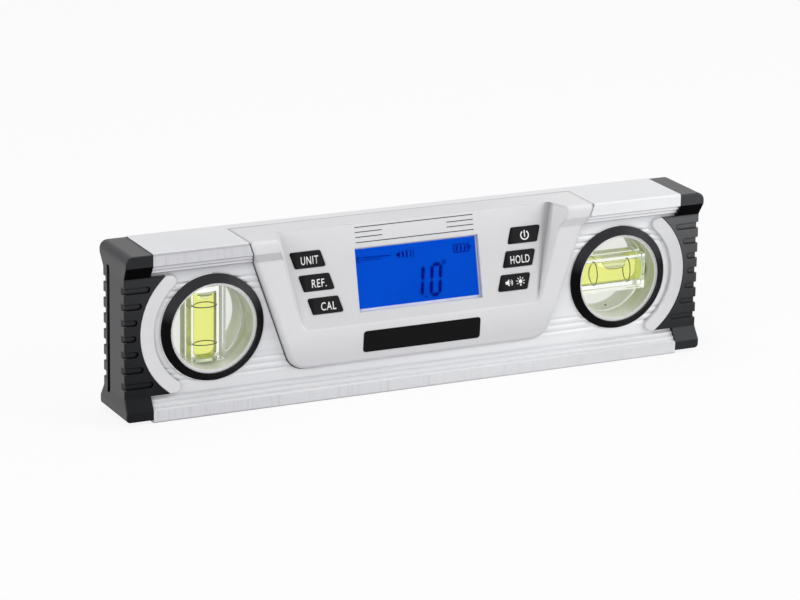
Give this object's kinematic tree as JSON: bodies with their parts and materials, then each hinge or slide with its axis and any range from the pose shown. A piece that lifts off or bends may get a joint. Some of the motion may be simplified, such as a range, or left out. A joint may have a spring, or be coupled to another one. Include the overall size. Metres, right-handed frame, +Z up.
{
  "type": "digital spirit level",
  "caption": "Compact digital spirit level: extruded body with a plumb vial, a level vial and a tilted, button-flanked display module between rubber end caps.",
  "frame": {"origin": "centre of the base face that is set on the work", "axes": "+X along the level to the right as seen from the front, +Y to the back, +Z up"},
  "size_m": [0.25, 0.028, 0.067],
  "materials": {
    "aluminium": "pale brushed and clear anodised",
    "silver_plastic": "fine-grained silver-white moulding",
    "rubber": "matt black rubber with a soft sheen",
    "black_plastic": "satin black moulding",
    "white_liner": "white moulding",
    "clear_acrylic": "clear polished acrylic",
    "vial_plug": "pale translucent plug",
    "spirit": "yellow-green liquid",
    "air": "air bubble",
    "line_ink": "dark printed ring",
    "lcd_glass": "backlit blue liquid crystal panel",
    "diffuser": "white light guide",
    "circuit_board": "green solder mask",
    "chip_plastic": "black moulded parts",
    "steel": "plated steel",
    "cell_wrap": "plain printed cell jacket"
  },
  "bodies": {
    "level_body": {"profile": "aluminium", "front_housing": "silver_plastic", "left_front_trim": "silver_plastic", "left_rear_trim": "silver_plastic", "right_front_trim": "silver_plastic", "right_rear_trim": "silver_plastic", "left_end_cap": "rubber", "right_end_cap": "rubber", "plumb_front_bezel": "black_plastic", "plumb_rear_bezel": "black_plastic", "level_front_bezel": "black_plastic", "level_rear_bezel": "black_plastic", "label_plate": "black_plastic", "battery_bay": "black_plastic", "plumb_sleeve": "white_liner", "level_sleeve": "white_liner", "plumb_vial_body": "clear_acrylic", "level_vial_body": "clear_acrylic", "display_window": "clear_acrylic", "plumb_vial_plug": "vial_plug", "level_vial_plug": "vial_plug", "plumb_vial_spirit": "spirit", "level_vial_spirit": "spirit", "plumb_vial_lines": "line_ink", "level_vial_lines": "line_ink", "lcd_panel": "lcd_glass", "backlight": "diffuser", "main_board": "circuit_board", "tact_switches": "chip_plastic", "controller_chip": "chip_plastic", "tilt_sensor": "chip_plastic", "buzzer": "chip_plastic", "board_screws": "steel", "clamp_screws": "steel", "battery_contacts": "steel", "base_magnets": "steel", "left_cell": "cell_wrap", "right_cell": "cell_wrap"},
    "unit_button": {"unit_button": "black_plastic"},
    "reference_button": {"reference_button": "black_plastic"},
    "calibrate_button": {"calibrate_button": "black_plastic"},
    "power_button": {"power_button": "black_plastic"},
    "hold_button": {"hold_button": "black_plastic"},
    "sound_light_button": {"sound_light_button": "black_plastic"},
    "level_bubble": {"level_bubble": "air"},
    "plumb_bubble": {"plumb_bubble": "air"},
    "battery_cover": {"battery_cover": "black_plastic"}
  },
  "joints": [
    {"name": "unit_button_press", "type": "slide", "parent": "level_body", "child": "unit_button", "axis": [0, 0.9736, -0.2284], "range_m": [0, 0.0006], "stiffness_N_per_m": 400, "springref_m": -0.001},
    {"name": "reference_button_press", "type": "slide", "parent": "level_body", "child": "reference_button", "axis": [0, 0.9736, -0.2284], "range_m": [0, 0.0006], "stiffness_N_per_m": 400, "springref_m": -0.001},
    {"name": "calibrate_button_press", "type": "slide", "parent": "level_body", "child": "calibrate_button", "axis": [0, 0.9736, -0.2284], "range_m": [0, 0.0006], "stiffness_N_per_m": 400, "springref_m": -0.001},
    {"name": "power_button_press", "type": "slide", "parent": "level_body", "child": "power_button", "axis": [0, 0.9736, -0.2284], "range_m": [0, 0.0006], "stiffness_N_per_m": 400, "springref_m": -0.001},
    {"name": "hold_button_press", "type": "slide", "parent": "level_body", "child": "hold_button", "axis": [0, 0.9736, -0.2284], "range_m": [0, 0.0006], "stiffness_N_per_m": 400, "springref_m": -0.001},
    {"name": "sound_light_button_press", "type": "slide", "parent": "level_body", "child": "sound_light_button", "axis": [0, 0.9736, -0.2284], "range_m": [0, 0.0006], "stiffness_N_per_m": 400, "springref_m": -0.001},
    {"name": "level_bubble_run", "type": "slide", "parent": "level_body", "child": "level_bubble", "axis": [1, 0, 0], "range_m": [-0.0101, 0.0065], "stiffness_N_per_m": 0.5},
    {"name": "plumb_bubble_rise", "type": "slide", "parent": "level_body", "child": "plumb_bubble", "axis": [0, 0, 1], "range_m": [-0.0226, 0], "stiffness_N_per_m": 2, "springref_m": 0.01},
    {"name": "battery_cover_lift", "type": "slide", "parent": "level_body", "child": "battery_cover", "axis": [0, 1, 0], "range_m": [0, 0.015]}
  ]
}
